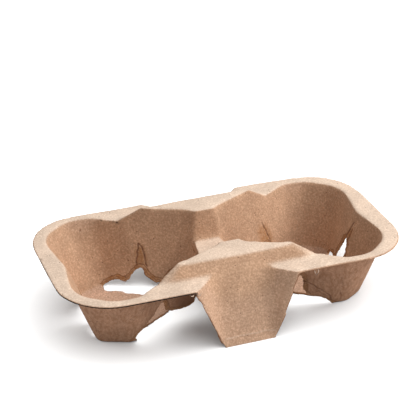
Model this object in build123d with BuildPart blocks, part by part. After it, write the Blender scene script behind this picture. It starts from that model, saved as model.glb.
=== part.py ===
from build123d import *
from math import atan, atan2, cos, radians, sin, tan
import os

# Two-cup carrier of moulded paper fibre: one sheet, pressed into two cup wells,
# a raised bridge and a grip chute on each long side, and four hollow feet.
# X runs along the carrier, Y across it and Z up from the ground it stands on.
# A drop is a depth in mm below the top face of the rim, negative above it.

# Sheet and rim
wall = 1.4
rim_length = 215
rim_width = 112
rim_corner = 31
rim_height = 41

# Quarters of the two wells. At rim level a well's end and sides lie a flange inside the
# rim's edge and its waist has a pinch, a flank and a nose; the slopes say how far its
# end, its sides and its nose move for each mm of depth.
back_right = dict(
    end_flange=8.2,
    side_flange=6.2,
    end_slope=0.31,
    side_slope=0.383,
    corner_run_slope=0.1,
    pinch_x=46.0,
    pinch_inset=20.0,
    flank_x=13.7,
    flank_y=23.0,
    nose_x=6.4,
    nose_slope=0.2,
)
front_right = dict(
    end_flange=10.0,
    side_flange=6.2,
    end_slope=0.29,
    side_slope=0.383,
    corner_run_slope=0.1,
    pinch_x=47.5,
    pinch_inset=17.5,
    flank_x=13.2,
    flank_y=23.9,
    nose_x=6.6,
    nose_slope=0.12,
)
back_left = dict(
    end_flange=7.8,
    side_flange=5.0,
    end_slope=0.40,
    side_slope=0.463,
    corner_run_slope=0,
    pinch_x=48.0,
    pinch_inset=17.5,
    flank_x=13.2,
    flank_y=23.9,
    nose_x=6.6,
    nose_slope=0.12,
)
front_left = dict(
    end_flange=7.8,
    side_flange=7.0,
    end_slope=0.40,
    side_slope=0.415,
    corner_run_slope=0,
    pinch_x=46.0,
    pinch_inset=20.0,
    flank_x=13.7,
    flank_y=22.4,
    nose_x=6.4,
    nose_slope=0.2,
)

# What all the quarters share
corner_run_x = 17
corner_run_y = 16
corner_radius = 23
shoulder_run = 16.7
shoulder_radius = 12
pinch_radius = 14
flank_radius = 10
nose_y = 18.5
nose_radius = 7
middle_nose_x = 9.9
middle_nose_radius = 20
end_pinch = 5.2
end_pinch_radius = 22

# How far those corners move for each mm of depth
corner_side_slope = 0.195
corner_radius_slope = 0.44
shoulder_slope = 0.25
pinch_slope = 0.26
pinch_side_slope = 0.42
flank_slope = 0.2
flank_side_slope = 0.12
middle_nose_slope = 0.2
end_pinch_slope = 0.04

# Floor inside the feet, and the tongue that it runs out to
tongue_tip_x = 33
tongue_tip_half = 8.8
tongue_root_x = 63
tongue_root_half = 27
tongue_corner = 4

# Raised bridge between the wells, a little off the middle
bridge_shift = -1.75
bridge_rise = 8.7
bridge_top_half = 37.4
bridge_foot_half = 50
bridge_foot_y = rim_width / 2 - 12.5
bridge_top_y = rim_width / 2 - 18.7
bridge_corner = 6
bridge_top_round = 3
bridge_foot_round = 7

# Saddle that joins the wells over the divider
saddle_drop = 10.5
saddle_top_half = 20.5
saddle_floor_half = 17
saddle_reach = 13.2
saddle_round = 4.5

# Grip chute on each long side, and how far its top lies off the middle
chute_half = 31.5
chute_shift = 2.1
chute_back_half = 17
chute_lip_half = 16
chute_lip_y = rim_width / 2 + 1.6
chute_lip_height = 4.5
chute_crease_y = rim_width / 2 - 1.6
chute_crease_radius = 8
chute_rim_radius = 14

# Lower edge of the wall in each quarter of the carrier, as (distance from the middle
# along X, height above the ground): over the foot's arch, up the slit, then along the
# lobe and the divider
foot_front_left = [(65.5, 0), (60, 10), (52.4, 15.4), (46, 23.5)]
foot_front_right = [(66, 0), (56.4, 4.3), (49.4, 6.6), (46.2, 10.1), (43.4, 23)]
foot_back_left = [(66, 0), (53.9, 4.4), (49.3, 3), (43.2, 10.5), (40.5, 12.7)]
foot_back_right = [(66, 0), (56.4, 4.3), (50, 8), (46.5, 12)]
lobe_front_left = [(42.4, 13), (38, 10.2), (27, 9.2), (21.5, 10.5), (19.3, 17.3), (17, 20), (0, 20)]
lobe_front_right = [(40.5, 21), (38.5, 14), (30, 10.5), (22, 9), (0, 9)]
lobe_back_left = [(39, 10.6), (38.1, 6.6), (32.3, 2.5), (26, 2.5), (22, 9), (0, 9)]
lobe_back_right = [(43, 10.5), (39.4, 6.5), (33, 4.5), (22, 9), (0, 9)]

# Torn arch in the end wall, as (distance to the back at the right end, height)
end_arch = [
    (20, 0),
    (17.4, 3.5),
    (13, 5),
    (10, 5.5),
    (8, 3),
    (5.5, 3.5),
    (4.6, 9),
    (3.6, 14),
    (2.2, 19),
    (1.2, 23),
    (-0.6, 21),
    (-2.5, 16),
    (-3.6, 10),
    (-18, 0),
]

# Extra reach of the solids that only cut, past the top and past the bottom
clear = 12
undercut = 2

# Largest part of an outline's side that the rounding at one end may use
side_share = 0.47


def level(drop):
    """The horizontal plane that lies this far below the rim."""
    return Plane.XY.offset(rim_height - drop)


def grown(points, radii, amount):
    """Moves the sides of an anticlockwise outline outwards, and its corner radii too.
    A radius is no larger than the sides that meet there have room for."""
    corners = [Vector(x, y) for x, y in points]
    new_points, new_radii = [], []
    for i, corner in enumerate(corners):
        came = corner - corners[i - 1]
        goes = corners[(i + 1) % len(corners)] - corner
        shorter = min(came.length, goes.length)
        half_turn = radians(came.get_angle(goes)) / 2
        came, goes = came.normalized(), goes.normalized()
        out = Vector(came.Y + goes.Y, -came.X - goes.X) * (amount / (1 + came.dot(goes)))
        new_points.append((corner.X + out.X, corner.Y + out.Y))
        convex = came.X * goes.Y > came.Y * goes.X
        radius = min(radii[i], side_share * shorter / tan(half_turn))
        new_radii.append(max(radius + (amount if convex else -amount), 0))
    return new_points, new_radii


def face_at(drop, points, radii):
    """A flat face at one level, with rounded corners."""
    with BuildSketch(level(drop)) as face:
        with BuildLine():
            FilletPolyline(*points, radius=radii, close=True)
        make_face()
    return face.sketch


def half_outline(quarter, drop):
    """Corners and radii of one half of a well, from its end to its nose."""
    end_x = rim_length / 2 - quarter["end_flange"] - quarter["end_slope"] * drop
    side_y = rim_width / 2 - quarter["side_flange"] - quarter["side_slope"] * drop
    pinch_y = rim_width / 2 - quarter["pinch_inset"] - pinch_side_slope * drop
    corner_x = end_x - corner_run_x + quarter["corner_run_slope"] * drop
    corner_y = side_y - corner_run_y + corner_side_slope * drop
    side_move = flank_side_slope * drop
    points = [
        (end_x, corner_y),
        (corner_x, side_y),
        (corner_x - shoulder_run + shoulder_slope * drop, side_y),
        (quarter["pinch_x"] - pinch_slope * drop, pinch_y),
        (quarter["flank_x"] + flank_slope * drop, quarter["flank_y"] - side_move),
        (quarter["nose_x"] + quarter["nose_slope"] * drop, nose_y - side_move),
    ]
    corner = corner_radius - corner_radius_slope * drop
    return points, [corner, corner, shoulder_radius, pinch_radius, flank_radius, nose_radius]


def well_face(side, drop, depth):
    """Section of the right well (side 1) or the left one (side -1), lobed at its corners
    and narrow at its waist, under a face that lies one depth below the sheet's top."""
    left, right = (front_left, back_left) if side < 0 else (back_right, front_right)
    left_points, left_radii = half_outline(left, drop)
    right_points, right_radii = half_outline(right, drop)
    end_x = (left_points[0][0] + right_points[0][0]) / 2
    end = (end_x - end_pinch - end_pinch_slope * drop, 0)
    middle = (middle_nose_x + middle_nose_slope * drop, 0)
    points = [end] + left_points + [middle] + [(x, -y) for x, y in reversed(right_points)]
    radii = [end_pinch_radius] + left_radii + [middle_nose_radius] + right_radii[::-1]
    points, radii = grown(points, radii, depth / cos(atan(left["side_slope"])))
    return face_at(drop, [(side * x, side * y) for x, y in points], radii)


def chute_face(drop, back_y, back_half, reach_half, radius, growth):
    """Section of the space outside the chute on the -Y side, open away from the carrier."""
    reach_y = rim_width / 2 + clear
    middle_x = -chute_shift * (1 - drop / rim_height)
    points = [
        (middle_x + reach_half, -reach_y),
        (middle_x + back_half, -back_y),
        (middle_x - back_half, -back_y),
        (middle_x - reach_half, -reach_y),
    ]
    return face_at(drop, *grown(points, [0, radius, radius, 0], growth))


def chute_faces(depth):
    """The chute's sections: above the rim, at the crease above the lip, and at the lip."""
    crease_drop = rim_height - chute_lip_height
    growth = depth / cos(atan2(chute_crease_y - bridge_foot_y, crease_drop))
    reach_y = rim_width / 2 + clear
    splay = (chute_half - chute_back_half) / (rim_width / 2 - bridge_foot_y)
    lip_reach = chute_lip_half + (reach_y - chute_lip_y)
    rim_reach = chute_back_half + (reach_y - bridge_foot_y) * splay
    rise = clear / crease_drop
    top_y = bridge_foot_y - (chute_crease_y - bridge_foot_y) * rise
    top_half = chute_back_half + (chute_back_half - chute_lip_half) * rise
    top_reach = rim_reach + (rim_reach - lip_reach) * rise
    top_radius = chute_rim_radius + (chute_rim_radius - chute_crease_radius) * rise
    low = [chute_lip_half, lip_reach, chute_crease_radius, growth]
    return [
        chute_face(-clear, top_y, top_half, top_reach, top_radius, growth),
        chute_face(crease_drop, chute_crease_y, *low),
        chute_face(rim_height, chute_lip_y, *low),
    ]


def press(depth):
    """Shapes a block as it is under a face that lies one depth below the sheet's top."""
    end_shift = depth / sin(atan2(bridge_rise, bridge_foot_half - bridge_top_half))
    side_shift = depth / sin(atan2(bridge_rise, bridge_foot_y - bridge_top_y))
    end_run = (bridge_foot_half - bridge_top_half) / bridge_rise
    side_run = (bridge_foot_y - bridge_top_y) / bridge_rise

    bridge_faces = []
    for drop in (depth, depth - bridge_rise):
        half_x = bridge_foot_half + drop * end_run - end_shift
        half_y = bridge_foot_y + drop * side_run - side_shift
        with BuildSketch(level(drop)) as face:
            with Locations((bridge_shift, 0)):
                RectangleRounded(2 * half_x, 2 * half_y, bridge_corner)
        bridge_faces.append(face.sketch)
    loft(bridge_faces, ruled=True)
    foot_edges = edges(Select.LAST).group_by(Axis.Z)[0]
    fillet(foot_edges, bridge_foot_round + depth)
    top_edges = edges().group_by(Axis.Z)[-1]
    fillet(top_edges, bridge_top_round - depth)

    for side in (1, -1):
        well_faces = [well_face(side, drop, depth) for drop in (-clear, rim_height + undercut)]
        loft(well_faces, ruled=True, mode=Mode.SUBTRACT)

    saddle_faces = []
    for drop, half_y in ((-clear, saddle_top_half), (saddle_drop + depth, saddle_floor_half)):
        with BuildSketch(level(drop)) as face:
            Rectangle(2 * saddle_reach, 2 * (half_y + depth))
        saddle_faces.append(face.sketch)
    saddle = loft(saddle_faces, ruled=True, mode=Mode.PRIVATE)
    floor_edges = saddle.edges().group_by(Axis.Z)[0].filter_by(Axis.X)
    add(saddle.fillet(saddle_round + depth, floor_edges), mode=Mode.SUBTRACT)

    chute = loft(chute_faces(depth), ruled=True, mode=Mode.PRIVATE)
    for turn in (0, 180):
        add(chute.rotate(Axis.Z, turn), mode=Mode.SUBTRACT)


# Everything under the top face, cut off at the carrier's free edges
with BuildPart() as upper:
    with BuildSketch():
        RectangleRounded(rim_length, rim_width, rim_corner)
    extrude(amount=rim_height)
    edge_faces = []
    for drop, half_x, half_y in (
        (0, chute_half + chute_shift + wall, rim_width / 2),
        (rim_height, chute_lip_half, chute_lip_y),
    ):
        with BuildSketch(level(drop)) as face:
            Rectangle(2 * half_x, 2 * half_y)
        edge_faces.append(face.sketch)
    loft(edge_faces, ruled=True)
    press(0)

# Everything under the bottom face, reaching past the free edges
with BuildPart() as lower:
    with BuildSketch(level(rim_height + clear)):
        Rectangle(rim_length + 2 * clear, rim_width + 4 * clear)
    extrude(amount=rim_height + clear - wall)
    press(wall)

# What is torn out of the walls: four arches with their slits, and one at each end
with BuildPart() as openings:
    for foot, lobe, side_x, side_y in (
        (foot_front_left, lobe_front_left, -1, -1),
        (foot_front_right, lobe_front_right, 1, -1),
        (foot_back_left, lobe_back_left, -1, 1),
        (foot_back_right, lobe_back_right, 1, 1),
    ):
        edge = [(foot[0][0], -undercut)] + foot + lobe + [(0, -undercut)]
        with BuildSketch(Plane.XZ):
            with BuildLine():
                Polyline(*[(side_x * x, height) for x, height in edge], close=True)
            make_face()
        extrude(amount=-side_y * bridge_foot_y)

    arch = [(end_arch[0][0], -undercut)] + end_arch + [(end_arch[-1][0], -undercut)]
    for end in (1, -1):
        with BuildSketch(Plane.YZ.offset(end * tongue_root_x)):
            with BuildLine():
                Polyline(*[(end * y, height) for y, height in arch], close=True)
            make_face()
        extrude(amount=end * rim_length / 2)

# Floor pads in the feet of each well, joined by the tongue between them
with BuildPart() as floors:
    for side in (1, -1):
        with BuildSketch() as floor:
            add(well_face(side, rim_height, wall / 2))
            tongue = [
                (rim_length, rim_width),
                (tongue_root_x, rim_width),
                (tongue_root_x, tongue_root_half),
                (tongue_tip_x, tongue_tip_half),
            ]
            tongue += [(x, -y) for x, y in reversed(tongue)]
            with BuildLine():
                FilletPolyline(*[(side * x, y) for x, y in tongue], radius=tongue_corner, close=True)
            make_face(mode=Mode.INTERSECT)
        extrude(amount=wall)

with BuildPart() as cup_carrier:
    add(upper.part)
    add(lower.part, mode=Mode.SUBTRACT)
    add(openings.part, mode=Mode.SUBTRACT)
    add(floors.part)

cup_carrier.part.label = "cup_carrier"
os.makedirs("parts", exist_ok=True)
export_step(cup_carrier.part, "parts/cup_carrier.step")
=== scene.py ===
from itertools import product
from math import cos, pi, radians, sin

import bpy
import numpy as np
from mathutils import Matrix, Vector
from mathutils.bvhtree import BVHTree
from mathutils.kdtree import KDTree


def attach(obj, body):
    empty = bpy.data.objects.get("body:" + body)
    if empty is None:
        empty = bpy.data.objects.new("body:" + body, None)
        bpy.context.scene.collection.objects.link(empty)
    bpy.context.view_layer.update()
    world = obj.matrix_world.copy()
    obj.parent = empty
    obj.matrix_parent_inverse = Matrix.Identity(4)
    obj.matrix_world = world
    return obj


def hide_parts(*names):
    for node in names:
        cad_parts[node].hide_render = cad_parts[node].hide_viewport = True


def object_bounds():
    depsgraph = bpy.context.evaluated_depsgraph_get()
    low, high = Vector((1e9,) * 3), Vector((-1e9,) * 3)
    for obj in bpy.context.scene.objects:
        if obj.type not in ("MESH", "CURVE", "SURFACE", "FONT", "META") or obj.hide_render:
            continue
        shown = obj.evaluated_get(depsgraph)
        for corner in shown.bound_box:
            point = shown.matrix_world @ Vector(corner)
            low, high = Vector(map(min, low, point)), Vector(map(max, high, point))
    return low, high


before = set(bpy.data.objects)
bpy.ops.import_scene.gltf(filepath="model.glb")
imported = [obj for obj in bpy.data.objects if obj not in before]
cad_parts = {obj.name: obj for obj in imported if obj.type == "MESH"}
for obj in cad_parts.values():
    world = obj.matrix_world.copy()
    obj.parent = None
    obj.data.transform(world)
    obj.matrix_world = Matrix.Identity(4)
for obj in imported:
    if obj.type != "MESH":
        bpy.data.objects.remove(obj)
cad_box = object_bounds()

# Lengths are in metres, and this turns those that are written in millimetres into metres
MM = 0.001

# Camera, as it stood when the photograph was taken
CAMERA_PLACE = (-0.2733, -0.7025, 0.4653)
CAMERA_AZIMUTH = -20.5
CAMERA_ELEVATION = 27.9
CAMERA_LENS = 128.08
SENSOR_WIDTH = 36.0
CAMERA_NEAR = 0.05
CAMERA_FAR = 20

# Light: even light all round, the main lamp, and a lamp that lights the floor alone
WORLD_STRENGTH = 0.42
KEY_PLACE = (1.15, -0.36, 1.08)
KEY_SIZE = 1.2
KEY_POWER = 26
FLOOR_LAMP_PLACE = (0, 0, 1.1)
FLOOR_LAMP_SIZE = 3
FLOOR_LAMP_POWER = 104
WHITE = (1, 1, 1, 1)

# Floor: half its length, its grey to the camera, and its grey in the light it gives back
FLOOR_HALF = 6
FLOOR_SEEN = 0.5
FLOOR_LIT = 0.26

# Mesh of the sheet
VOXEL = 0.5 * MM
MOST_TRIANGLES = 190000
BOX_MARGIN = 0.02 * MM

# Free edges: a point is on one where a ray into the sheet meets no other face. The distance
# from an edge spreads from point to point in rounds, and is FAR where none has come
RAY_START = 0.05 * MM
RAY_LENGTH = 4 * MM
EDGE_ROUNDS = 20
FAR = 1.0

# Softened folds: how many times the points move, and how near a free edge they move less
SOFTEN_ROUNDS = 45
FINE_ROUNDS = 2
NORMAL_ROUNDS = 6
SOFT_FROM_EDGE = 2.5 * MM

# Painted shadow along the rim's outer edge: its width, and the heights between which it lies, each
# with its fade
RIM_Z = 41 * MM
RIM_SHADOW_WIDTH = (0.1 * MM, 1.6 * MM)
RIM_SHADOW_TOP = (RIM_Z - 0.25 * MM, RIM_Z)
RIM_SHADOW_FOOT = (RIM_Z - 3 * MM, RIM_Z - 2 * MM)

# Torn edges: all are up to the first height and the first distance from the middle plane,
# and none are from the second on. Their ragged shape goes as far into the sheet as the reach
TORN_TOP = (26 * MM, 29 * MM)
TORN_SIDE = (48 * MM, 50 * MM)
TEAR_REACH = 5 * MM

# Uneven sheet, as pairs of the size of a random pattern and how far it moves a point
TEAR_WAVES = ((7 * MM, 0.9 * MM), (1.8 * MM, 0.4 * MM))
WARP_WAVES = ((45 * MM, 0.5 * MM), (14 * MM, 0.12 * MM))
SURFACE_WAVES = ((4 * MM, 0.06 * MM), (1.3 * MM, 0.05 * MM))
WANDER_WAVES = ((2.5 * MM, 0.45 * MM),)

# Parts of the mesh that stay fine when it is thinned: marks, and what is near a torn edge.
# The strength says how much they are spared
KEPT_MARK = 0.05
KEPT_TORN = 0.5
KEPT_FROM_EDGE = 3 * MM
KEPT_STRENGTH = 0.02

# Random numbers: where each use starts, and whole numbers that mix a place with a seed
SEEDS = {"tear": 1, "crack": 5, "fold_highlight": 6, "stain": 7, "warp": 50, "surface": 90}
SEEDS_A_WAVE = 10
NET_START = 1000
CORNER_MIX = (73856093, 19349663, 83492791)
SEED_MIX = 2654435761
MIX_ROUNDS = ((15, 668265263), (13, 374761393))
LAST_SHIFT = 16
LOW_BITS = 0xFFFFFFFF

# Walls that carry marks: the two axes along the wall, the way it faces, and the side of the
# carrier it is on with its least distance from the middle
WALLS = {
    "back": ((0, 2), (0, -1, 0), (0, 1, 0), 15 * MM),
    "front": ((0, 2), (0, -1, 0), (0, -1, 0), 15 * MM),
    "right": ((1, 2), (-1, 0, 0), (1, 0, 0), 60 * MM),
    "top": ((0, 1), (0, 0, 1), (0, 0, 1), 40 * MM),
}
FACING_LEAST = 0.25

# A mark is whole up to the first part of its half width, and has gone at the second
MARK_FADE = (0.3, 1.6)

# A mark this deep has its full colour, and one less deep has less of it
FULL_DEPTH = 0.35

# Marks in millimetres: the wall, half the mark's width, how deep it goes, and its points.
# A fold stands up, so its depth is below 0. A stain has no depth, only the colour of one
CRACKS = (
    ("back", 0.45, 0.3, ((-43, 14), (-42.3, 17), (-41.5, 20.4), (-40.7, 24.7), (-40.4, 27.5))),
    ("back", 0.45, 0.3, ((-36.6, 13.5), (-37.2, 17), (-37.6, 21), (-38.3, 24.7), (-40, 27.8))),
    ("back", 0.35, 0.15, ((-41.5, 27), (-43, 28.2), (-43.8, 26.5))),
    ("back", 0.45, 0.3, ((43.4, 26.2), (44.6, 23.5), (45.9, 20.2), (48.4, 14), (49, 11))),
    ("right", 0.5, 0.35, ((-1.9, 34), (-0.8, 28), (0.6, 23.5), (3, 14))),
    ("right", 0.4, 0.3, ((-3.3, 30.5), (-2.9, 26), (-2.4, 21.5))),
    ("front", 0.4, 0.28, ((44, 18.5), (50, 15.5), (56, 11), (61, 6.2), (62, 3))),
    ("front", 0.4, 0.15, ((47, 14.6), (53, 11.2), (57.5, 7))),
    ("front", 0.4, 0.15, ((64, 23), (65.5, 18), (67.6, 13.5))),
    ("front", 0.4, 0.25, ((66.4, 9.2), (67.6, 6), (67.2, 3.5))),
    ("back", 0.5, 0.3, ((-72.8, 34.4), (-72.4, 34.6))),
    ("back", 0.4, 0.2, ((37.8, 34), (38.2, 34.2))),
    ("back", 0.4, 0.2, ((44, 31.2), (44.4, 31.4))),
    ("top", 0.35, 0.12, ((-41, 36.2), (-36, 35.6), (-30.2, 35.8), (-24, 34))),
)
# Folds also carry a painted highlight along them
FOLDS = (
    ("top", 0.6, -0.2, ((-41, 37.6), (-35, 37.2), (-30, 37.2))),
    ("front", 0.7, -0.2, ((-15, 4.6), (0, 4.5), (16, 4.6))),
)
STAINS = (
    ("back", 3.2, 0.35, ((-39.8, 12), (-39.9, 23))),
    ("back", 4.5, 0.35, ((43.5, 21), (46.5, 13))),
    ("right", 2.4, 0.35, ((-2.4, 28), (1, 16))),
)

# Loose strands in millimetres: the strand's radius and its points
STRANDS = (
    (
        0.42,
        ((40.2, -55, 40.2), (40.7, -54.8, 38), (42, -54.7, 36), (43.1, -54.9, 38), (42.6, -55, 40.2)),
    ),
    (0.35, ((-37.8, -55.6, 40.2), (-36.8, -56.2, 39), (-35.6, -56, 38.8), (-34.8, -55.7, 40))),
    (0.3, ((-33.6, -55.8, 40.2), (-32.8, -56.5, 38.8), (-31.6, -56.8, 38.9), (-31, -56.6, 40.4))),
)
STRAND_SIDES = 6
STRAND_END = 0.45

# Colours of the fibre, in linear light. Several are painted light and shade, as said above each
# Painted light: faces that look up high on the carrier, and the highlight on folds and strands
PAINTED_LIGHT_PALE = (0.87, 0.68, 0.53)
WALL = (0.62, 0.4, 0.27)
# Painted shade inside the wells: a little darker and browner than the walls outside
WELL_PAINTED_SHADE = (0.62, 0.39, 0.25)
# Painted light, less of it: faces that look up low down
PAINTED_LIGHT_LOW = (0.74, 0.5, 0.36)
# Faces that look down: the rougher, darker fibre underneath, and painted shade on them as well
UNDERSIDE_AND_SHADE = (0.48, 0.27, 0.17)
# Painted shade under the middle of the carrier, between the wells
PAINTED_SHADE_DEEP = (0.26, 0.12, 0.065)
TORN = (0.42, 0.2, 0.08)
SPECK = (0.3, 0.14, 0.07)
DARK = (0.1, 0.045, 0.025)
# Painted shadow along the left of the rim's outer edge
RIM_SHADOW_BLACK = (0.012, 0.008, 0.008)

# Where the colours change. A face's level is 1 where it faces up and -1 where it faces down,
# and the others are distances from the middle and heights
UNDER_LEVEL = (-0.12, 0.08)
UPWARD_LEVEL = (0.66, 0.98)
# Walls nearer the middle than this are inside the wells and get their painted shade
OUTSIDE_Y = (46 * MM, 50 * MM)
# Faces that look up take the less lit painted colour below the first height and the most lit above
# the second
TOP_Z = (10 * MM, 34 * MM)
# Painted shade under the middle: the distances from the middle where it begins to fade and where it
# has gone, and its strength
PAINTED_SHADE_X = (26 * MM, 44 * MM)
PAINTED_SHADE_SHARE = 0.8
# The rim's painted shadow is whole left of the first place and gone at the second
RIM_SHADOW_X = (-45 * MM, -5 * MM)

# Brown band along a torn edge: how far it reaches and how uneven it is, with less of it on
# level faces. Its lines each have a distance from the edge, half their width where they are
# whole and where they have gone, and a strength
TORN_BAND = (6.6 * MM, 7.6 * MM)
RAGGED_REACH = 2.2 * MM
UNEVEN_REACH = 4 * MM
LEVEL_FACE = (0.6, 0.9)
LEVEL_LESS = 3.5 * MM
TORN_LINES = ((6.7 * MM, 0.1 * MM, 0.55 * MM, 0.6), (5.2 * MM, 0.1 * MM, 0.4 * MM, 0.4))
TORN_LIP = (3.2 * MM, 4 * MM)
LIP_STRENGTH = 0.55

# Small round specks: the size of the net they lie in, the largest radius, and the share of
# the net's cells that have one
FLECK_SPACING = 2.4 * MM
FLECK_RADIUS = 0.34 * MM
FLECK_SHARE = 0.55

# Random patterns of the material: size, detail and shift
PATTERNS = {
    "ragged": (3 * MM, 3, 0),
    "uneven": (11 * MM, 1, 0.4),
    "mottle": (2 * MM, 3, 0.3),
    "hair": (9 * MM, 3, 0),
    "hair_places": (16 * MM, 1, 0.7),
    "broken": (2.2 * MM, 2, 0.2),
    "cloud": (13 * MM, 3, 0),
    "grain": (1.1 * MM, 3, 0),
    "streak": (1.6 * MM, 3, 0),
    "rough": (2.2 * MM, 3, 0.5),
    "rougher": (1.5 * MM, 4, 0.9),
}
STREAK_STRETCH = (1, 1, 0.3)
PATTERN_MIDDLE = 0.5

# What a pattern or an attribute does: two values of it, and the result at each of them
EFFECTS = {
    "mottle": (0.3, 0.7, 0.35, 1),
    "hair": (0.003, 0.01, 0.7, 0),
    "hair_places": (0.5, 0.6, 0, 1),
    "broken": (0.35, 0.6, 0.45, 1),
    "cloud": (0.3, 0.7, 0.93, 1.07),
    "grain": (0.3, 0.7, 0.42, 0),
    "light_grain": (0.5, 0.75, 1, 1.15),
    "streak": (0.35, 0.65, 0.7, 0),
    "calm": (0.2, 1, 1, 0.5),
    "fold_highlight": (0.3, 1, 0, 1),
}

# Surface of the fibre
ROUGHNESS = 0.92
SPECULAR = 0.25
ROUGH_SHARE = 0.6
BUMP_STRENGTH = 0.5
BUMP_HEIGHT = 0.35 * MM


def smooth_step(values, low, high):
    """0 below low, 1 above high, and an even change between them."""
    part = np.clip((values - low) / (high - low), 0, 1)
    return part * part * (3 - 2 * part)


def smooth_drop(values, low, high):
    """1 below low, 0 above high, and an even change between them."""
    return 1 - smooth_step(values, low, high)


def noise(points, size, seed):
    """Random numbers from -1 to 1, one for a point, that change evenly over about size."""
    scaled = points / size + NET_START
    cell = np.floor(scaled).astype(np.int64)
    part = scaled - cell
    part = part * part * (3 - 2 * part)
    total = np.zeros(len(points))
    for corner in product((0, 1), repeat=3):
        mixed = (cell + corner) @ CORNER_MIX + seed * SEED_MIX
        for shift, factor in MIX_ROUNDS:
            mixed = (mixed ^ (mixed >> shift)) * factor & LOW_BITS
        value = ((mixed ^ (mixed >> LAST_SHIFT)) & LOW_BITS) / LOW_BITS
        weight = np.prod(np.where(corner, part, 1 - part), axis=1)
        total += weight * value
    return total * 2 - 1


def noise_shift(points, waves, seed):
    """A random push in all three directions for each point."""
    shift = np.zeros_like(points)
    for wave, (size, reach) in enumerate(waves):
        for axis in range(3):
            shift[:, axis] += reach * noise(points, size, seed + SEEDS_A_WAVE * wave + axis)
    return shift


def numbers_of(items, name, width, kind=float):
    """The named numbers of a mesh's vertices or edges, with one row for each."""
    found = np.empty(len(items) * width, dtype=kind)
    items.foreach_get(name, found)
    return found.reshape(-1, width)


def put_points(mesh, points):
    mesh.vertices.foreach_set("co", points.ravel())
    mesh.update()


def soften(points, links, rounds, amount):
    """Each round moves a point half way to the middle of its neighbours, or less by its amount."""
    first, second = links[:, 0], links[:, 1]
    count = len(points)
    neighbours = np.bincount(links.ravel(), minlength=count)[:, None]
    moved = points.copy()
    for _ in range(rounds):
        total = np.stack(
            [
                np.bincount(first, moved[second, axis], count)
                + np.bincount(second, moved[first, axis], count)
                for axis in range(3)
            ],
            axis=1,
        )
        moved += amount[:, None] * 0.5 * (total / neighbours - moved)
    return moved


def applied(piece, kind, **settings):
    """Puts a modifier on the piece and keeps what it makes as the piece's mesh."""
    modifier = piece.modifiers.new(kind.title(), kind)
    for name, value in settings.items():
        setattr(modifier, name, value)
    graph = bpy.context.evaluated_depsgraph_get()
    made = bpy.data.meshes.new_from_object(piece.evaluated_get(graph))
    piece.modifiers.clear()
    piece.data = made
    return made


def edge_distances(points, normals, links, cad_mesh):
    """How far each point lies, along the surface, from the sheet's nearest free edge."""
    solid = BVHTree.FromPolygons(
        [vertex.co for vertex in cad_mesh.vertices],
        [polygon.vertices for polygon in cad_mesh.polygons],
    )
    distance = np.full(len(points), FAR)
    for i, (point, normal) in enumerate(zip(points, normals)):
        inward = Vector(-normal)
        start = Vector(point) + inward * RAY_START
        if solid.ray_cast(start, inward, RAY_LENGTH)[0] is None:
            distance[i] = 0
    first, second = links[:, 0], links[:, 1]
    length = np.linalg.norm(points[first] - points[second], axis=1)
    for _ in range(EDGE_ROUNDS):
        there = distance[first] + length
        back = distance[second] + length
        np.minimum.at(distance, second, there)
        np.minimum.at(distance, first, back)
    return distance


def edge_kinds(points, distance):
    """How much each point belongs to the torn edges, and to the painted shadow along the rim's outer
    edge.
    """
    height = points[:, 2]
    torn = smooth_drop(height, *TORN_TOP) * smooth_drop(np.abs(points[:, 1]), *TORN_SIDE)
    rim_edge_shadow = (1 - torn) * smooth_drop(distance, *RIM_SHADOW_WIDTH)
    rim_edge_shadow *= smooth_drop(height, *RIM_SHADOW_TOP) * smooth_step(height, *RIM_SHADOW_FOOT)
    return torn, rim_edge_shadow


def line_distance(places, line):
    """How far each place in a plane lies from a line of straight runs."""
    nearest = np.full(len(places), FAR)
    for start, end in zip(line, line[1:]):
        along = end - start
        part = np.clip((places - start) @ along / (along @ along), 0, 1)
        gap = places - start - part[:, None] * along
        nearest = np.minimum(nearest, np.linalg.norm(gap, axis=1))
    return nearest


def marked(points, normals, marks, seed):
    """How much of a mark each point is in, from 0 to 1, and how deep the mark is there."""
    strength = np.zeros(len(points))
    depth = np.zeros(len(points))
    wander = noise_shift(points, WANDER_WAVES, seed)
    fade = np.array(MARK_FADE) * MM
    for wall, half_width, deep, line in marks:
        axes, facing, side, least = WALLS[wall]
        on_wall = (normals @ facing > FACING_LEAST) & (points @ side > least)
        chosen = np.flatnonzero(on_wall)
        places = (points + wander)[chosen][:, axes]
        share = smooth_drop(line_distance(places, np.array(line) * MM), *(fade * half_width))
        faded = share * min(abs(deep) / FULL_DEPTH, 1)
        strength[chosen] = np.maximum(strength[chosen], faded)
        depth[chosen] += share * deep * MM
    return strength, depth


def thinned(piece, fine):
    """Thins the piece's mesh to its number of triangles, and least at the fine points."""
    kept = piece.vertex_groups.new(name="kept")
    kept.add(fine.tolist(), 1, "REPLACE")
    piece.data.calc_loop_triangles()
    return applied(
        piece,
        "DECIMATE",
        ratio=min(MOST_TRIANGLES / len(piece.data.loop_triangles), 1),
        vertex_group="kept",
        invert_vertex_group=True,
        vertex_group_factor=KEPT_STRENGTH,
    )


def nearest_points(points, mesh):
    """For each vertex of the mesh, the number of the point that is nearest to it."""
    tree = KDTree(len(points))
    for i, point in enumerate(points):
        tree.insert(point, i)
    tree.balance()
    return [tree.find(vertex.co)[1] for vertex in mesh.vertices]


def add_layer(mesh, name, values):
    """Gives each vertex a number that the material reads."""
    layer = mesh.attributes.new(name, "FLOAT", "POINT")
    layer.data.foreach_set("value", values.astype(np.float32))


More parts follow.
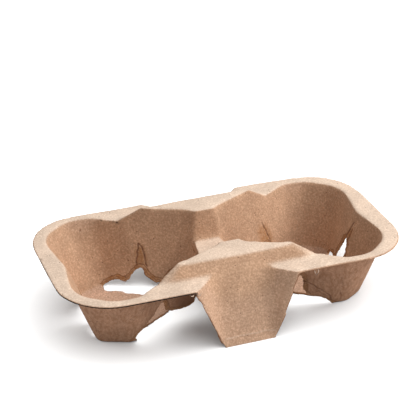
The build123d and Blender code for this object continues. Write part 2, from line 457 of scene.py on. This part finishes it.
def roughened(mesh, points, near_tear, dent):
    """Tears the edges, warps the sheet, presses the marks in, and stays in the CAD's box."""
    points = points + near_tear[:, None] * noise_shift(points, TEAR_WAVES, SEEDS["tear"])
    points += noise_shift(points, WARP_WAVES, SEEDS["warp"])
    put_points(mesh, points)
    normals = numbers_of(mesh.vertices, "normal", 3)
    for wave, (size, reach) in enumerate(SURFACE_WAVES):
        points += normals * (reach * noise(points, size, SEEDS["surface"] + wave))[:, None]
    points -= normals * dent[:, None]
    low, high = (np.array(corner) for corner in cad_box)
    points = np.clip(points, low + BOX_MARGIN, high - BOX_MARGIN)
    put_points(mesh, points)
    return points


def build_sheet(node):
    """The moulded sheet: the CAD solid's form with softened folds and ragged torn edges."""
    piece = bpy.data.objects.new("moulded_carrier", node.data.copy())
    bpy.context.scene.collection.objects.link(piece)
    mesh = applied(piece, "REMESH", mode="VOXEL", voxel_size=VOXEL)
    points = numbers_of(mesh.vertices, "co", 3)
    normals = numbers_of(mesh.vertices, "normal", 3)
    links = numbers_of(mesh.edges, "vertices", 2, np.int64)
    everywhere = np.ones(len(points))
    distance = edge_distances(points, normals, links, node.data)
    torn, rim_edge_shadow = edge_kinds(points, distance)

    points = soften(points, links, SOFTEN_ROUNDS, smooth_step(distance, 0, SOFT_FROM_EDGE))
    points = soften(points, links, FINE_ROUNDS, everywhere)
    put_points(mesh, points)
    normals = numbers_of(mesh.vertices, "normal", 3)
    soft_normals = soften(normals, links, NORMAL_ROUNDS, everywhere)
    crack, crack_depth = marked(points, soft_normals, CRACKS, SEEDS["crack"])
    fold_highlight, fold_depth = marked(points, soft_normals, FOLDS, SEEDS["fold_highlight"])
    stain, _ = marked(points, soft_normals, STAINS, SEEDS["stain"])

    near_tear = torn * smooth_drop(distance, 0, TEAR_REACH)
    points = roughened(mesh, points, near_tear, crack_depth + fold_depth)

    in_mark = np.maximum(crack, fold_highlight) > KEPT_MARK
    at_tear = torn * (distance < KEPT_FROM_EDGE) > KEPT_TORN
    mesh = thinned(piece, np.flatnonzero(in_mark | at_tear))
    nearest = nearest_points(points, mesh)
    layers = {
        "edge_distance": distance,
        "torn": torn,
        "rim_edge_shadow": rim_edge_shadow,
        "level": soft_normals[:, 2],
        "crack": crack,
        "fold_highlight": fold_highlight,
        "stain": stain,
    }
    for name, values in layers.items():
        add_layer(mesh, name, values[nearest])
    mesh.polygons.foreach_set("use_smooth", [True] * len(mesh.polygons))
    return piece


class Shading:
    """A material whose nodes are added one at a time."""

    def __init__(self, name):
        self.material = bpy.data.materials.new(name)
        self.material.use_nodes = True
        self.tree = self.material.node_tree
        self.shader = self.tree.nodes["Principled BSDF"]
        self.place = self.node("ShaderNodeTexCoord").outputs["Object"]
        split = self.node("ShaderNodeSeparateXYZ")
        self.feed(split.inputs[0], self.place)
        self.across, self.along, self.high = split.outputs

    def node(self, kind, **settings):
        made = self.tree.nodes.new(kind)
        for name, value in settings.items():
            setattr(made, name, value)
        return made

    def feed(self, socket, value):
        """Links another node's output to the socket, or sets a plain number or colour."""
        if isinstance(value, bpy.types.NodeSocket):
            self.tree.links.new(value, socket)
        else:
            socket.default_value = value

    def attribute(self, name):
        return self.node("ShaderNodeAttribute", attribute_name=name).outputs["Fac"]

    def maths(self, operation, *values):
        made = self.node("ShaderNodeMath", operation=operation)
        for socket, value in zip(made.inputs, values):
            self.feed(socket, value)
        return made.outputs[0]

    def times(self, first, second):
        return self.maths("MULTIPLY", first, second)

    def plus(self, first, second):
        return self.maths("ADD", first, second)

    def largest(self, first, second):
        return self.maths("MAXIMUM", first, second)

    def gap(self, value, other):
        """How far the value is from the other one, to either side."""
        return self.maths("ABSOLUTE", self.maths("SUBTRACT", value, other))

    def step(self, value, low, high, low_result=0, high_result=1):
        """Changes evenly from one result to the other as the value goes from low to high."""
        made = self.node("ShaderNodeMapRange", interpolation_type="SMOOTHSTEP")
        names = ("Value", "From Min", "From Max", "To Min", "To Max")
        for name, number in zip(names, (value, low, high, low_result, high_result)):
            self.feed(made.inputs[name], number)
        return made.outputs["Result"]

    def drop(self, value, low, high, low_result=1):
        """Falls evenly from the result to nothing as the value goes from low to high."""
        return self.step(value, low, high, low_result, 0)

    def pattern(self, name, stretch=(1, 1, 1)):
        """A random pattern, longer along an axis whose stretch is small."""
        size, detail, shift = PATTERNS[name]
        mapping = self.node("ShaderNodeMapping")
        self.feed(mapping.inputs["Vector"], self.place)
        mapping.inputs["Location"].default_value = (shift, shift, shift)
        mapping.inputs["Scale"].default_value = stretch
        made = self.node("ShaderNodeTexNoise")
        self.feed(made.inputs["Vector"], mapping.outputs[0])
        made.inputs["Scale"].default_value = 1 / size
        made.inputs["Detail"].default_value = detail
        return made.outputs["Fac"]

    def effect(self, name, value):
        """What a pattern's or an attribute's value does under this name."""
        return self.step(value, *EFFECTS[name])

    def blend(self, factor, first, second):
        made = self.node("ShaderNodeMix", data_type="RGBA")
        self.feed(made.inputs[0], factor)
        for socket, colour in ((made.inputs[6], first), (made.inputs[7], second)):
            plain = isinstance(colour, tuple)
            self.feed(socket, (*colour, 1) if plain else colour)
        return made.outputs[2]

    def scaled(self, colour, amount):
        """The colour made lighter or darker by a number for each point."""
        made = self.node("ShaderNodeVectorMath", operation="SCALE")
        self.feed(made.inputs[0], colour)
        self.feed(made.inputs["Scale"], amount)
        return made.outputs[0]


def face_colour(fibre, below, upward, top):
    """The fibre's colour by the way a face looks and by its place on the carrier, with painted light
    and shade: paler where a face looks up and less so low down, painted shade in the wells and under
    the middle, and darker underneath.
    """
    wall = fibre.blend(fibre.step(fibre.gap(fibre.along, 0), *OUTSIDE_Y), WELL_PAINTED_SHADE, WALL)
    colour = fibre.blend(upward, wall, fibre.blend(top, PAINTED_LIGHT_LOW, PAINTED_LIGHT_PALE))
    colour = fibre.blend(below, colour, UNDERSIDE_AND_SHADE)
    shaded_middle = fibre.drop(fibre.gap(fibre.across, 0), *PAINTED_SHADE_X, PAINTED_SHADE_SHARE)
    return fibre.blend(fibre.times(below, shaded_middle), colour, PAINTED_SHADE_DEEP)


def torn_band(fibre, level):
    """The brown band along torn edges, and how dark the lines in it are."""
    torn = fibre.attribute("torn")
    ragged = fibre.times(fibre.pattern("ragged"), RAGGED_REACH)
    ragged = fibre.plus(ragged, fibre.times(fibre.pattern("uneven"), UNEVEN_REACH))
    ragged = fibre.plus(ragged, fibre.step(level, *LEVEL_FACE, 0, LEVEL_LESS))
    distance = fibre.plus(fibre.attribute("edge_distance"), ragged)
    band = fibre.drop(distance, *TORN_BAND)
    lines = fibre.drop(distance, *TORN_LIP, LIP_STRENGTH)
    for where, whole, gone, strength in TORN_LINES:
        line = fibre.drop(fibre.gap(distance, where), whole, gone, strength)
        lines = fibre.largest(lines, line)
    return fibre.times(torn, band), fibre.times(torn, lines)


def hairs(fibre, below):
    """Thin dark hairs in the rough fibre underneath."""
    away = fibre.gap(fibre.pattern("hair"), PATTERN_MIDDLE)
    some = fibre.effect("hair_places", fibre.pattern("hair_places"))
    return fibre.times(fibre.times(fibre.effect("hair", away), some), below)


def flecks(fibre):
    """Small round specks: one in each cell of a random net, in a share of the cells."""
    net = fibre.node("ShaderNodeTexVoronoi")
    fibre.feed(net.inputs["Vector"], fibre.place)
    net.inputs["Scale"].default_value = 1 / FLECK_SPACING
    split = fibre.node("ShaderNodeSeparateColor")
    fibre.feed(split.inputs[0], net.outputs["Color"])
    chosen = fibre.maths("LESS_THAN", split.outputs[0], FLECK_SHARE)
    size = fibre.times(split.outputs[1], FLECK_RADIUS / FLECK_SPACING)
    inside = fibre.maths("LESS_THAN", net.outputs["Distance"], size)
    return fibre.times(chosen, inside)


def fibre_material():
    """Moulded paper fibre: painted light makes it pale on top, it is browner on the walls, and
    darkest underneath from rougher fibre and painted shade.
    """
    fibre = Shading("fibre")
    level = fibre.attribute("level")
    below = fibre.drop(level, *UNDER_LEVEL)
    upward = fibre.step(level, *UPWARD_LEVEL)
    top = fibre.step(fibre.high, *TOP_Z)
    colour = face_colour(fibre, below, upward, top)

    band, lines = torn_band(fibre, level)
    stained = fibre.largest(band, fibre.attribute("stain"))
    mottled = fibre.effect("mottle", fibre.pattern("mottle"))
    colour = fibre.blend(fibre.times(stained, mottled), colour, TORN)

    broken = fibre.effect("broken", fibre.pattern("broken"))
    dark = fibre.times(fibre.attribute("crack"), broken)
    for share in (lines, hairs(fibre, below), flecks(fibre)):
        dark = fibre.largest(dark, share)
    colour = fibre.blend(dark, colour, DARK)
    # Painted highlight along the folds and on the loose strands
    colour = fibre.blend(fibre.effect("fold_highlight", fibre.attribute("fold_highlight")), colour, PAINTED_LIGHT_PALE)

    grain = fibre.pattern("grain")
    calm = fibre.effect("calm", fibre.times(upward, top))
    specks = fibre.times(fibre.effect("grain", grain), calm)
    streaks = fibre.effect("streak", fibre.pattern("streak", STREAK_STRETCH))
    streaks = fibre.times(below, streaks)
    colour = fibre.blend(fibre.largest(specks, streaks), colour, SPECK)
    colour = fibre.scaled(colour, fibre.effect("cloud", fibre.pattern("cloud")))
    colour = fibre.scaled(colour, fibre.effect("light_grain", grain))

    # Painted shadow along the rim's outer edge, on the left side only
    left = fibre.drop(fibre.across, *RIM_SHADOW_X)
    colour = fibre.blend(fibre.times(fibre.attribute("rim_edge_shadow"), left), colour, RIM_SHADOW_BLACK)
    fibre.feed(fibre.shader.inputs["Base Color"], colour)
    fibre.feed(fibre.shader.inputs["Roughness"], ROUGHNESS)
    fibre.feed(fibre.shader.inputs["Specular IOR Level"], SPECULAR)

    rough = fibre.times(fibre.pattern("rough"), ROUGH_SHARE)
    rougher = fibre.times(fibre.pattern("rougher"), below)
    height = fibre.plus(fibre.plus(grain, rough), rougher)
    bump = fibre.node("ShaderNodeBump")
    fibre.feed(bump.inputs["Strength"], BUMP_STRENGTH)
    fibre.feed(bump.inputs["Distance"], BUMP_HEIGHT)
    fibre.feed(bump.inputs["Height"], fibre.times(height, calm))
    fibre.feed(fibre.shader.inputs["Normal"], bump.outputs[0])
    return fibre.material


def add_camera():
    azimuth, elevation = radians(CAMERA_AZIMUTH), radians(CAMERA_ELEVATION)
    back = Vector(
        (
            sin(azimuth) * cos(elevation),
            -cos(azimuth) * cos(elevation),
            sin(elevation),
        )
    )
    data = bpy.data.cameras.new("camera")
    data.lens = CAMERA_LENS
    data.sensor_width = SENSOR_WIDTH
    data.clip_start = CAMERA_NEAR
    data.clip_end = CAMERA_FAR
    camera = bpy.data.objects.new("camera", data)
    camera.location = CAMERA_PLACE
    camera.rotation_euler = (-back).to_track_quat("-Z", "Y").to_euler()
    bpy.context.scene.collection.objects.link(camera)
    bpy.context.scene.camera = camera


def add_lamp(name, place, size, power, lit=None):
    """A square lamp that faces the carrier, and lights one thing only where that is given."""
    data = bpy.data.lights.new(name, "AREA")
    data.size = size
    data.energy = power
    lamp = bpy.data.objects.new(name, data)
    lamp.location = place
    lamp.rotation_euler = (-Vector(place)).to_track_quat("-Z", "Y").to_euler()
    bpy.context.scene.collection.objects.link(lamp)
    if lit:
        lamp.light_linking.receiver_collection = bpy.data.collections.new(name + "_lights")
        lamp.light_linking.receiver_collection.objects.link(lit)


def mix_for_camera(tree, seen, other, surface):
    """Gives the camera one shader, and everything else the light of the other one."""
    path = tree.nodes.new("ShaderNodeLightPath")
    mix = tree.nodes.new("ShaderNodeMixShader")
    tree.links.new(path.outputs["Is Camera Ray"], mix.inputs["Fac"])
    tree.links.new(other.outputs[0], mix.inputs[1])
    tree.links.new(seen.outputs[0], mix.inputs[2])
    tree.links.new(mix.outputs[0], surface)


def add_world():
    """Even light all round, and a white background for the camera."""
    world = bpy.data.worlds.new("world")
    bpy.context.scene.world = world
    world.use_nodes = True
    nodes = world.node_tree.nodes
    light = nodes["Background"]
    light.inputs["Strength"].default_value = WORLD_STRENGTH
    light.inputs["Color"].default_value = WHITE
    white = nodes.new("ShaderNodeBackground")
    white.inputs["Color"].default_value = WHITE
    mix_for_camera(world.node_tree, white, light, nodes["World Output"].inputs["Surface"])


def add_floor():
    """A floor that the camera sees as white where no shadow falls on it."""
    mesh = bpy.data.meshes.new("floor")
    signs = ((-1, -1), (1, -1), (1, 1), (-1, 1))
    corners = [(FLOOR_HALF * across, FLOOR_HALF * along, 0) for across, along in signs]
    mesh.from_pydata(corners, [], [(0, 1, 2, 3)])
    floor = bpy.data.objects.new("floor", mesh)
    bpy.context.scene.collection.objects.link(floor)
    material = bpy.data.materials.new("floor")
    material.use_nodes = True
    nodes = material.node_tree.nodes
    nodes.remove(nodes["Principled BSDF"])
    greys = []
    for grey in (FLOOR_SEEN, FLOOR_LIT):
        shader = nodes.new("ShaderNodeBsdfDiffuse")
        shader.inputs["Color"].default_value = (grey, grey, grey, 1)
        greys.append(shader)
    mix_for_camera(material.node_tree, *greys, nodes["Material Output"].inputs["Surface"])
    mesh.materials.append(material)
    return floor


def tube(line, radius):
    """The points and faces of a thin closed tube along a line, thinner towards its ends."""
    points, faces = [], []
    sides = STRAND_SIDES
    last = len(line) - 1
    for i, shaded_middle in enumerate(line):
        ahead = (line[min(i + 1, last)] - line[max(i - 1, 0)]).normalized()
        across = ahead.orthogonal().normalized()
        up = ahead.cross(across)
        width = radius * (STRAND_END + (1 - STRAND_END) * sin(pi * i / last))
        for side in range(sides):
            turn = 2 * pi * side / sides
            points.append(shaded_middle + width * (cos(turn) * across + sin(turn) * up))
    for i in range(last):
        for side in range(sides):
            low, high = i * sides + side, i * sides + (side + 1) % sides
            faces.append((low, high, high + sides, low + sides))
    faces.append(tuple(reversed(range(sides))))
    faces.append(tuple(range(last * sides, (last + 1) * sides)))
    return points, faces


def build_strands():
    """Loose curls of fibre that hang from the rim's edge, painted with the whole pale highlight of a
    fold.
    """
    points, faces = [], []
    for radius, line in STRANDS:
        more, joined = tube([Vector(point) * MM for point in line], radius * MM)
        faces += [tuple(i + len(points) for i in face) for face in joined]
        points += more
    mesh = bpy.data.meshes.new("loose_fibres")
    mesh.from_pydata(points, [], faces)
    add_layer(mesh, "fold_highlight", np.ones(len(points)))
    mesh.polygons.foreach_set("use_smooth", [True] * len(mesh.polygons))
    piece = bpy.data.objects.new("loose_fibres", mesh)
    bpy.context.scene.collection.objects.link(piece)
    return piece


look = fibre_material()
carrier = build_sheet(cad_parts["cup_carrier"])
carrier.data.materials.clear()
carrier.data.materials.append(look)
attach(carrier, "root")
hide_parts("cup_carrier")

strands = build_strands()
strands.data.materials.append(look)
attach(strands, "root")

add_camera()
add_world()
add_lamp("key", KEY_PLACE, KEY_SIZE, KEY_POWER)
floor = add_floor()
add_lamp("floor_light", FLOOR_LAMP_PLACE, FLOOR_LAMP_SIZE, FLOOR_LAMP_POWER, floor)

bpy.context.scene.view_settings.view_transform = "Standard"
